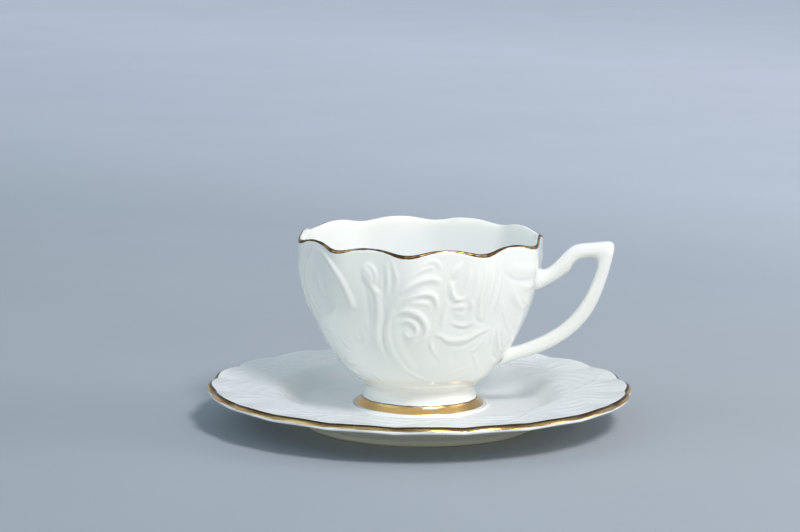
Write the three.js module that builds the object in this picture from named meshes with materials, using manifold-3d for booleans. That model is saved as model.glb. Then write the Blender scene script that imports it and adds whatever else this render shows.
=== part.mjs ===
// A footed porcelain teacup on its saucer, both with scalloped gilt edges.
//
// The cup is a deep bowl with ten soft lobes, luted onto a hollow waisted foot,
// with a separately cast angular loop handle. Thin gilt bands lie on the lip and
// on the flare of the foot. The saucer has a flat well with a low bead that
// centres the cup, a short verge, a nearly level flange with twenty scallops,
// a turned foot ring underneath, and a gilt edge.
//
// Frame: millimetres, +Z up. The origin is on the saucer's axis, in the plane
// that its foot ring stands on. +X points along the handle.

import * as THREE from "three";
import { mergeVertices } from "three/addons/utils/BufferGeometryUtils.js";
import Module from "manifold-3d";

// ---------------------------------------------------------------- dimensions
const SAUCER_R = 75.0; // mean radius of the scalloped edge
const SAUCER_LOBES = 20;
const SAUCER_LOBE_R = 0.8; // radial depth of a scallop, cusp to crown
const SAUCER_LOBE_Z = 0.6; // height of a scallop, cusp to crown
const WELL_Z = 6.75; // top of the well's floor
const WELL_R = 42.5;
const BEAD_R = 24.1; // bead that centres the cup's foot
const BEAD_TOP_Z = 7.5;
const FLANGE_Z = 12.6;
const SAUCER_LIP_Z = 14.1;
const FOOT_RING_R = 41.2; // outside of the saucer's foot ring
const FOOT_RING_IN_R = 39.0;

const CUP_LOBES = 10;
const LIP_R = 43.0; // outside of the lip, mean
const LIP_Z = 67.7; // top of the lip, mean
const LIP_WAVE_Z = 0.8; // the lip rises at each crest
const LIP_WAVE_R = 0.75; // and bows out at each trough
const LIP_T = 1.9; // wall at the lip
const FOOT_BOTTOM_Z = 6.8;
const WAIST_Z = 14.2; // joint between bowl and foot
const WAIST_R = 19.3;
const FOOT_R = 23.1; // widest part of the foot

const HANDLE_DEPTH = 5.6; // across the handle
const HANDLE_BEVEL = 1.2;

const GILT_GAP = 0.1; // clear of the glaze under it
const GILT_T = 0.3; // drawn thickness of the gold film

const BOWL_SEGMENTS = 60;
const SAUCER_SEGMENTS = 80;
const FOOT_SEGMENTS = 48;

// ------------------------------------------------------------------- helpers
const smooth = (a, b, x) => {
  const t = Math.min(1, Math.max(0, (x - a) / (b - a)));
  return t * t * (3 - 2 * t);
};

// Broad crests and tighter troughs, with a crest at the handle.
const cupWave = (phi) =>
  Math.cos(CUP_LOBES * phi) - 0.12 * Math.cos(2 * CUP_LOBES * phi);

// Round crowns between sharp cusps, with a cusp at the handle's azimuth.
const saucerWave = (phi) =>
  Math.abs(Math.sin((SAUCER_LOBES / 2) * phi)) - 2 / Math.PI;

function cupShape(r, phi, z) {
  const w = cupWave(phi);
  const out = smooth(20, 64, z) * LIP_WAVE_R;
  const up = smooth(50, 66.5, z) * LIP_WAVE_Z;
  return [r - out * w, z + up * w];
}

function saucerShape(r, phi, z) {
  const w = saucerWave(phi);
  const k = smooth(58, SAUCER_R, r);
  return [r + SAUCER_LOBE_R * w * k, z + SAUCER_LOBE_Z * w * k];
}

// A solid of revolution about Z from [r, z] pairs, bent by shape(r, phi, z).
function turned(profile, segments, shape) {
  const g = new THREE.LatheGeometry(
    profile.map(([r, z]) => new THREE.Vector2(r, z)),
    segments,
  );
  g.rotateX(Math.PI / 2);
  g.deleteAttribute("normal");
  g.deleteAttribute("uv");
  const p = g.getAttribute("position");
  for (let i = 0; i < p.count; i++) {
    const x = p.getX(i),
      y = p.getY(i),
      r = Math.hypot(x, y);
    if (!shape || r < 1e-6) continue;
    const phi = Math.atan2(y, x);
    const [r2, z2] = shape(r, phi, p.getZ(i));
    p.setXYZ(i, (x / r) * r2, (y / r) * r2, z2);
  }
  return mergeVertices(g, 1e-4);
}

// Profiles are written anticlockwise in (r, z), which turns out facing outwards.
const closed = (points) => [...points, points[0]];

const wasm = await Module();
wasm.setup();

function solid(geometry) {
  const g = mergeVertices(geometry, 1e-4);
  return new wasm.Manifold(
    new wasm.Mesh({
      numProp: 3,
      vertProperties: new Float32Array(g.getAttribute("position").array),
      triVerts: new Uint32Array(g.index.array),
    }),
  );
}

function fromSolid(s) {
  const m = s.getMesh();
  const n = m.numProp,
    v = new Float32Array(m.numVert * 3);
  for (let i = 0; i < m.numVert; i++)
    v.set(m.vertProperties.subarray(i * n, i * n + 3), i * 3);
  const g = new THREE.BufferGeometry();
  g.setAttribute("position", new THREE.BufferAttribute(v, 3));
  g.setIndex(new THREE.BufferAttribute(new Uint32Array(m.triVerts), 1));
  return g;
}

function toFlat(geometry) {
  const g = geometry.clone();
  g.deleteAttribute("normal");
  g.deleteAttribute("uv");
  return mergeVertices(g, 1e-4);
}

// ----------------------------------------------------------------- materials
const porcelain = new THREE.MeshStandardMaterial({
  color: 0xeef0ee,
  roughness: 0.12,
  metalness: 0,
});
const gilt = new THREE.MeshStandardMaterial({
  color: 0xc9a04e,
  roughness: 0.18,
  metalness: 1,
});

// ---------------------------------------------------------------- the saucer
const saucerTop = [
  [0, WELL_Z],
  [22.9, WELL_Z],
  [23.6, WELL_Z + 0.25],
  [BEAD_R, BEAD_TOP_Z],
  [24.7, WELL_Z + 0.15],
  [26.0, WELL_Z],
  [WELL_R - 2, WELL_Z + 0.05],
  [WELL_R + 1, WELL_Z + 0.8],
  [WELL_R + 4, WELL_Z + 2.9],
  [WELL_R + 7, WELL_Z + 4.9],
  [WELL_R + 9.5, FLANGE_Z - 0.1],
  [56, FLANGE_Z + 0.25],
  [64, FLANGE_Z + 0.6],
  [71, FLANGE_Z + 1.1],
  [SAUCER_R - 1.1, SAUCER_LIP_Z - 0.1],
  [SAUCER_R - 0.5, SAUCER_LIP_Z],
  [SAUCER_R - 0.05, SAUCER_LIP_Z - 0.45],
  [SAUCER_R, SAUCER_LIP_Z - 1.1],
];
const saucerUnder = [
  [SAUCER_R - 0.5, SAUCER_LIP_Z - 2.0],
  [72.6, 11.0],
  [68.5, 9.8],
  [60, 9.2],
  [53.5, 8.6],
  [48.5, 6.3],
  [44.6, 3.6],
  [42.4, 2.2],
  [FOOT_RING_R + 0.35, 0.7],
  [FOOT_RING_R, 0],
  [FOOT_RING_IN_R, 0],
  [FOOT_RING_IN_R - 0.7, 1.2],
  [FOOT_RING_IN_R - 1.3, 3.0],
  [FOOT_RING_IN_R - 3.2, 3.5],
  [0, 3.5],
];
const saucerDish = turned(
  [...saucerTop, ...saucerUnder].reverse(),
  SAUCER_SEGMENTS,
  saucerShape,
);

// The gilt edge lies on the outside of the lip and laps over its top.
const saucerGilding = turned(
  closed([
    [SAUCER_R + GILT_GAP, SAUCER_LIP_Z - 1.5],
    [SAUCER_R + GILT_GAP + GILT_T, SAUCER_LIP_Z - 1.5],
    [SAUCER_R + GILT_GAP + GILT_T, SAUCER_LIP_Z - 0.35],
    [SAUCER_R - 0.35, SAUCER_LIP_Z + GILT_GAP + GILT_T],
    [SAUCER_R - 0.75, SAUCER_LIP_Z + GILT_GAP + GILT_T],
    [SAUCER_R - 0.75, SAUCER_LIP_Z + GILT_GAP],
    [SAUCER_R - 0.45, SAUCER_LIP_Z + GILT_GAP],
    [SAUCER_R + GILT_GAP, SAUCER_LIP_Z - 0.45],
  ]),
  SAUCER_SEGMENTS,
  saucerShape,
);

// ------------------------------------------------------------------ the bowl
const bowlOuter = [
  [0, WAIST_Z + 0.1],
  [WAIST_R - 0.2, WAIST_Z + 0.1],
  [20.6, 15.5],
  [23.6, 17.6],
  [26.6, 20.4],
  [29.6, 24.2],
  [32.2, 28.2],
  [34.6, 32.6],
  [36.9, 37.2],
  [38.9, 42.0],
  [40.5, 46.6],
  [41.8, 51.4],
  [42.6, 56.4],
  [42.95, 61.0],
  [LIP_R, 65.0],
  [LIP_R - 0.12, LIP_Z - 0.6],
  [LIP_R - 0.6, LIP_Z - 0.05],
];
const bowlInner = [
  [LIP_R - LIP_T + 0.5, LIP_Z],
  [LIP_R - LIP_T, LIP_Z - 0.6],
  [LIP_R - 2.1, 64.0],
  [40.6, 58.0],
  [39.5, 51.4],
  [37.6, 44.6],
  [34.7, 37.2],
  [30.9, 29.6],
  [26.0, 23.0],
  [19.6, 18.6],
  [12.0, 17.2],
  [0, 17.0],
];
const cupBowl = turned([...bowlOuter, ...bowlInner], BOWL_SEGMENTS, cupShape);

const lipGilding = turned(
  closed([
    [LIP_R + GILT_GAP, LIP_Z - 1.5],
    [LIP_R + GILT_GAP + GILT_T, LIP_Z - 1.5],
    [LIP_R + GILT_GAP + GILT_T - 0.1, LIP_Z - 0.5],
    [LIP_R - 0.5, LIP_Z + GILT_GAP + GILT_T],
    [LIP_R - 1.0, LIP_Z + GILT_GAP + GILT_T],
    [LIP_R - 1.0, LIP_Z + GILT_GAP],
    [LIP_R - 0.5, LIP_Z + GILT_GAP],
    [LIP_R + GILT_GAP - 0.05, LIP_Z - 0.55],
  ]),
  BOWL_SEGMENTS,
  cupShape,
);

// ------------------------------------------------------------------ the foot
const cupFoot = turned(
  closed([
    [FOOT_R - 0.35, FOOT_BOTTOM_Z],
    [FOOT_R, 7.2],
    [20.9, 9.05],
    [20.2, 10.2],
    [19.6, 12.0],
    [WAIST_R, WAIST_Z],
    [15.6, WAIST_Z],
    [15.8, 12.2],
    [17.4, 9.6],
    [19.7, 7.6],
    [20.7, FOOT_BOTTOM_Z],
  ]),
  FOOT_SEGMENTS,
);

// The gilt band covers the flare, between its edges.
const flare = new THREE.Vector2(FOOT_R - 20.9, 7.2 - 9.05).normalize();
const away = new THREE.Vector2(-flare.y, flare.x);
const onFlare = (r, z, lift) => [r + away.x * lift, z + away.y * lift];
const footGilding = turned(
  closed([
    onFlare(FOOT_R - 0.05, 7.24, GILT_GAP),
    onFlare(FOOT_R - 0.05, 7.24, GILT_GAP + GILT_T),
    onFlare(21.0, 8.97, GILT_GAP + GILT_T),
    onFlare(21.0, 8.97, GILT_GAP),
  ]),
  FOOT_SEGMENTS,
);

// ---------------------------------------------------------------- the handle
// Its outline in the plane of the handle, [distance from the axis, height]:
// up and out from the bowl, level to the thumb corner, then back in a long bow.
const handleOutline = [
  [39.5, 56.6],
  [42.4, 56.5],
  [43.8, 56.4],
  [45.2, 57.1],
  [47.0, 58.7],
  [49.2, 60.9],
  [51.0, 62.9],
  [52.7, 64.4],
  [54.5, 65.4],
  [57.0, 66.0],
  [60.5, 66.4],
  [64.5, 66.9],
  [66.6, 67.0],
  [67.7, 66.5],
  [68.2, 65.3],
  [68.1, 63.3],
  [67.5, 60.3],
  [66.6, 56.6],
  [65.3, 52.4],
  [63.5, 47.4],
  [61.4, 42.8],
  [58.6, 38.4],
  [55.2, 34.7],
  [51.2, 31.5],
  [46.6, 28.6],
  [41.6, 26.4],
  [36.0, 24.5],
  [30.6, 23.0],
  [27.0, 22.3],
  [28.0, 27.2],
  [33.0, 28.5],
  [37.4, 29.9],
  [42.0, 31.9],
  [46.2, 34.3],
  [50.0, 37.0],
  [53.2, 40.0],
  [56.0, 43.7],
  [58.4, 47.8],
  [60.3, 52.2],
  [61.6, 56.0],
  [62.3, 59.0],
  [62.1, 60.6],
  [61.0, 61.2],
  [58.6, 61.0],
  [56.2, 60.5],
  [54.5, 59.4],
  [53.3, 57.4],
  [51.6, 55.3],
  [48.8, 53.2],
  [45.6, 51.2],
  [42.3, 49.4],
  [38.5, 47.4],
];
const outline = new THREE.Shape(
  handleOutline.map(([r, z]) => new THREE.Vector2(r, z)),
);
const bar = new THREE.ExtrudeGeometry(outline, {
  depth: HANDLE_DEPTH - 2 * HANDLE_BEVEL,
  steps: 1,
  bevelEnabled: true,
  bevelThickness: HANDLE_BEVEL,
  bevelSize: HANDLE_BEVEL,
  bevelOffset: -HANDLE_BEVEL,
  bevelSegments: 2,
});
bar.translate(0, 0, -(HANDLE_DEPTH - 2 * HANDLE_BEVEL) / 2);
bar.rotateX(Math.PI / 2); // the outline's height becomes Z
// The bowl's outside, grown a little, trims both ends of the handle to fit.
const TRIM_GAP = 0.3;
const grown = turned(
  [
    [0, WAIST_Z - 2],
    ...bowlOuter.slice(1, -2).map(([r, z]) => [r + TRIM_GAP, z]),
    [LIP_R + TRIM_GAP, LIP_Z + 4],
    [0, LIP_Z + 4],
  ],
  BOWL_SEGMENTS,
  cupShape,
);
const cupHandle = fromSolid(solid(toFlat(bar)).subtract(solid(grown)));

// ------------------------------------------------------------------ assembly
function piece(name, geometry, material) {
  const mesh = new THREE.Mesh(geometry, material);
  mesh.name = name;
  return mesh;
}

const saucer = new THREE.Group();
saucer.add(piece("saucer_dish", saucerDish, porcelain));
saucer.add(piece("saucer_edge_gilding", saucerGilding, gilt));

const cup = new THREE.Group();
cup.add(piece("cup_bowl", cupBowl, porcelain));
cup.add(piece("cup_foot", cupFoot, porcelain));
cup.add(piece("cup_handle", cupHandle, porcelain));
cup.add(piece("cup_lip_gilding", lipGilding, gilt));
cup.add(piece("cup_foot_gilding", footGilding, gilt));

const teacup = new THREE.Group();
teacup.add(saucer, cup);

export default teacup;
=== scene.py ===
# A footed, relief-moulded porcelain teacup standing in its saucer, with gilt edges.
# Metres in Blender; the tables below are written in millimetres and degrees.
import math

import bpy
import numpy as np
from mathutils import Matrix, Vector


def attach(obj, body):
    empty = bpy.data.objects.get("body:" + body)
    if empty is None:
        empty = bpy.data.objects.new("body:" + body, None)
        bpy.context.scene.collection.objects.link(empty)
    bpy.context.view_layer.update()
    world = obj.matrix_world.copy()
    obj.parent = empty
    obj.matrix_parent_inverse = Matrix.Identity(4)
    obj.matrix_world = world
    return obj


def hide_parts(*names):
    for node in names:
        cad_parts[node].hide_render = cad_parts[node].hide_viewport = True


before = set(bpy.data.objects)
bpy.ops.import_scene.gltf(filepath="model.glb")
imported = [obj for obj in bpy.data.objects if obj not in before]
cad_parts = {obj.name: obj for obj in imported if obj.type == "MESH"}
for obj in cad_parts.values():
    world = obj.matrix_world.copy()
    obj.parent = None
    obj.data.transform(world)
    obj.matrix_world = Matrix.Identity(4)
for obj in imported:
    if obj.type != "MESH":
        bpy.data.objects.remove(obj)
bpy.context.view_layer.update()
MM = 0.001

# =============================================================== camera
# Solved once in a frame that faces the viewer, then turned with the object.
TURN = math.radians(6.62)  # the handle comes this far towards the viewer
PITCH, ROLL = 0.1609405, 0.0098955
EYE = Vector((-7.377, -1065.494, 229.332))


def turned_vec(v):
    c, s = math.cos(TURN), math.sin(TURN)
    return Vector((c * v[0] - s * v[1], s * v[0] + c * v[1], v[2]))


def make_camera():
    right0 = Vector((1, 0, 0))
    up0 = Vector((0, math.sin(PITCH), math.cos(PITCH)))
    fwd0 = Vector((0, math.cos(PITCH), -math.sin(PITCH)))
    right = right0 * math.cos(ROLL) + up0 * math.sin(ROLL)
    up = up0 * math.cos(ROLL) - right0 * math.sin(ROLL)
    r, u, b = (turned_vec(v) for v in (right, up, -fwd0))
    cam = bpy.data.cameras.new("camera")
    cam.sensor_width = 36.0
    cam.lens = 3051.36 * 36.0 / 800.0
    cam.clip_start, cam.clip_end = 0.05, 50
    ob = bpy.data.objects.new("camera", cam)
    bpy.context.scene.collection.objects.link(ob)
    m = Matrix.Identity(4)
    for i, v in enumerate((r, u, b)):
        for k in range(3):
            m[k][i] = v[k]
    p = turned_vec(EYE) * MM
    for k in range(3):
        m[k][3] = p[k]
    ob.matrix_world = m
    bpy.context.scene.camera = ob
    return ob


make_camera()

# =============================================================== numbers
CUP_LOBES, SAUCER_LOBES = 10, 20
LIP_WAVE_Z, LIP_WAVE_R = 0.8, 0.75
SAUCER_LOBE_R, SAUCER_LOBE_Z = 0.8, 0.6
SAUCER_R = 75.0


def smooth(a, b, x):
    t = np.clip((np.asarray(x, float) - a) / (b - a), 0, 1)
    return t * t * (3 - 2 * t)


def cup_wave(phi):
    return np.cos(CUP_LOBES * phi) - 0.12 * np.cos(2 * CUP_LOBES * phi)


def saucer_wave(phi):
    # round crowns between cusps, the cusps a little softened by the glaze
    s = np.sin(SAUCER_LOBES / 2 * phi)
    return np.sqrt(s * s + 0.005) - 0.645


def spline(points, n=None, step=0.3, closed=False):
    """Points along a centripetal Catmull-Rom curve through the given ones."""
    p = np.asarray(points, float)
    if len(p) < 3:
        m = n or max(2, int(np.ceil(np.linalg.norm(p[-1] - p[0]) / step)) + 1)
        t = np.linspace(0, 1, m)[:, None]
        return p[0] * (1 - t) + p[-1] * t
    if closed:
        q = np.vstack([p[-1], p, p[0], p[1]])
    else:
        q = np.vstack([2 * p[0] - p[1], p, 2 * p[-1] - p[-2]])
    out = []
    for i in range(1, len(q) - 2):
        a, b, c, d = q[i - 1 : i + 3]
        t0 = 0.0
        t1 = t0 + max(np.linalg.norm(b - a), 1e-6) ** 0.5
        t2 = t1 + max(np.linalg.norm(c - b), 1e-6) ** 0.5
        t3 = t2 + max(np.linalg.norm(d - c), 1e-6) ** 0.5
        m = 16
        t = np.linspace(t1, t2, m, endpoint=False)[:, None]
        a1 = (t1 - t) / (t1 - t0) * a + (t - t0) / (t1 - t0) * b
        a2 = (t2 - t) / (t2 - t1) * b + (t - t1) / (t2 - t1) * c
        a3 = (t3 - t) / (t3 - t2) * c + (t - t2) / (t3 - t2) * d
        b1 = (t2 - t) / (t2 - t0) * a1 + (t - t0) / (t2 - t0) * a2
        b2 = (t3 - t) / (t3 - t1) * a2 + (t - t1) / (t3 - t1) * a3
        out.append((t2 - t) / (t2 - t1) * b1 + (t - t1) / (t2 - t1) * b2)
    if not closed:
        out.append(q[-2][None])
    out = np.vstack(out)
    length = np.concatenate([[0], np.cumsum(np.linalg.norm(np.diff(out, axis=0), axis=1))])
    m = n or max(2, int(np.ceil(length[-1] / step)) + 1)
    s = np.linspace(0, length[-1], m)
    return np.stack([np.interp(s, length, out[:, k]) for k in range(out.shape[1])], 1)


# =============================================================== mesh helpers
class Rings:
    """A closed skin built from rings of points, each ring a whole turn. Neighbouring rings hold the same count, or one a whole multiple of the other."""

    def __init__(self):
        self.v, self.f, self.attr, self.count, self.prev = [], [], {}, 0, None

    def ring(self, pts, **attrs):
        n = len(pts)
        start = self.count
        self.v.append(np.asarray(pts, float))
        self.count += n
        for k, a in attrs.items():
            self.attr.setdefault(k, []).append((start, np.broadcast_to(np.asarray(a, float), (n,))))
        if self.prev is not None:
            self._join(self.prev, (start, n))
        self.prev = (start, n)
        return start

    def _join(self, a, b):
        (sa, na), (sb, nb) = a, b
        if na == nb:
            j = np.arange(na)
            k = (j + 1) % na
            self.f += np.stack([sa + j, sa + k, sb + k, sb + j], 1).tolist()
            return
        flip = na < nb
        (fs, fn), (cs, cn) = (b, a) if flip else (a, b)
        m = fn // cn
        for j in range(cn):
            k = (j + 1) % cn
            fine = [fs + (j * m + i) % fn for i in range(m + 1)]
            half = m // 2
            tris = [(fine[i], fine[i + 1], cs + j) for i in range(half)]
            tris.append((cs + j, fine[half], cs + k))
            tris += [(fine[i], fine[i + 1], cs + k) for i in range(half, m)]
            self.f += [t[::-1] for t in tris] if flip else [list(t) for t in tris]

    def cap(self, point, first=False):
        """Closes the last ring, or the first one, onto a point."""
        start, n = (0, len(self.v[0])) if first else self.prev
        c = self.count
        self.v.append(np.asarray([point], float))
        self.count += 1
        for j in range(n):
            k = (j + 1) % n
            self.f.append([start + k, start + j, c] if first else [start + j, start + k, c])

    def loop(self):
        """Joins the last ring back to the first."""
        self._join(self.prev, (0, len(self.v[0])))

    def object(self, name, material, body, nodes=()):
        v = np.vstack(self.v) * MM
        return mesh_object(name, v, self.f, material, body, nodes, self.attr)


def mesh_object(name, v, faces, material, body, nodes=(), attrs=None):
    mesh = bpy.data.meshes.new(name)
    mesh.from_pydata(v.tolist(), [], [list(f) for f in faces])
    mesh.update()
    mesh.polygons.foreach_set("use_smooth", np.ones(len(mesh.polygons), bool))
    for k, parts in (attrs or {}).items():
        a = mesh.attributes.new(k, "FLOAT", "POINT")
        full = np.zeros(len(v), np.float32)
        for start, values in parts:
            full[start : start + len(values)] = values
        a.data.foreach_set("value", full)
    mesh.materials.append(material)
    ob = bpy.data.objects.new(name, mesh)
    bpy.context.scene.collection.objects.link(ob)
    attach(ob, body)
    if nodes:
        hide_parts(*nodes)
    return ob


def polar(r, phi, z):
    r, phi, z = np.broadcast_arrays(np.asarray(r, float), phi, np.asarray(z, float))
    return np.stack([r * np.cos(phi), r * np.sin(phi), z], -1)


def blur_rows(h, sigma_rows, sigma_cols):
    """Gaussian blur of a grid that wraps round in its columns."""
    def kernel(s):
        n = max(1, int(3 * s + 0.5))
        k = np.exp(-0.5 * (np.arange(-n, n + 1) / s) ** 2)
        return k / k.sum()
    if sigma_cols > 0.2:
        k = kernel(sigma_cols)
        n = len(k) // 2
        h = sum(w * np.roll(h, i - n, axis=1) for i, w in enumerate(k))
    if sigma_rows > 0.2:
        k = kernel(sigma_rows)
        n = len(k) // 2
        p = np.pad(h, ((n, n), (0, 0)), mode="edge")
        h = sum(w * p[i : i + h.shape[0]] for i, w in enumerate(k))
    return h


def stamp(h, radius, along, phi, path, width, height, style):
    """Adds one modelled stroke to the height grid h[row, col]. path holds [phi, along] pairs."""
    seg = np.hypot(np.diff(path[:, 0]) * np.interp(path[1:, 1], along, radius), np.diff(path[:, 1]))
    t = np.concatenate([[0], np.cumsum(seg)])
    t = t / max(t[-1], 1e-9)
    w = np.interp(t, np.linspace(0, 1, len(width)), width)
    a = np.interp(t, np.linspace(0, 1, len(height)), height)
    wmax = w.max()
    rows = np.where((along > path[:, 1].min() - wmax) & (along < path[:, 1].max() + wmax))[0]
    if len(rows) == 0:
        return
    rmin = radius[rows].min()
    lo, hi = path[:, 0].min() - wmax / rmin, path[:, 0].max() + wmax / rmin
    mid = (lo + hi) / 2
    d = (phi - mid + math.pi) % (2 * math.pi) - math.pi
    cols = np.where(np.abs(d) < (hi - lo) / 2)[0]
    if len(cols) == 0:
        return
    du = (d[cols][:, None] - (path[:, 0] - mid)[None, :])  # cols x path
    for i in rows:
        near = np.abs(along[i] - path[:, 1]) < wmax
        if not near.any():
            continue
        q2 = ((du[:, near] * radius[i]) ** 2 + (along[i] - path[near, 1]) ** 2) / w[near] ** 2
        j = q2.argmin(1)
        q = np.clip(q2[np.arange(len(cols)), j], 0, 1)
        amp = a[near][j]
        if style == "ridge":
            h[i, cols] = np.maximum(h[i, cols], amp * (1 - q) ** 1.35)
        elif style == "swell":
            h[i, cols] = np.maximum(h[i, cols], amp * (1 - q) ** 2)
        elif style == "groove":
            h[i, cols] -= amp * (1 - q) ** 1.6


def three(x):
    return list(x) if hasattr(x, "__len__") else [x * 0.6, x, x * 0.6]


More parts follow.
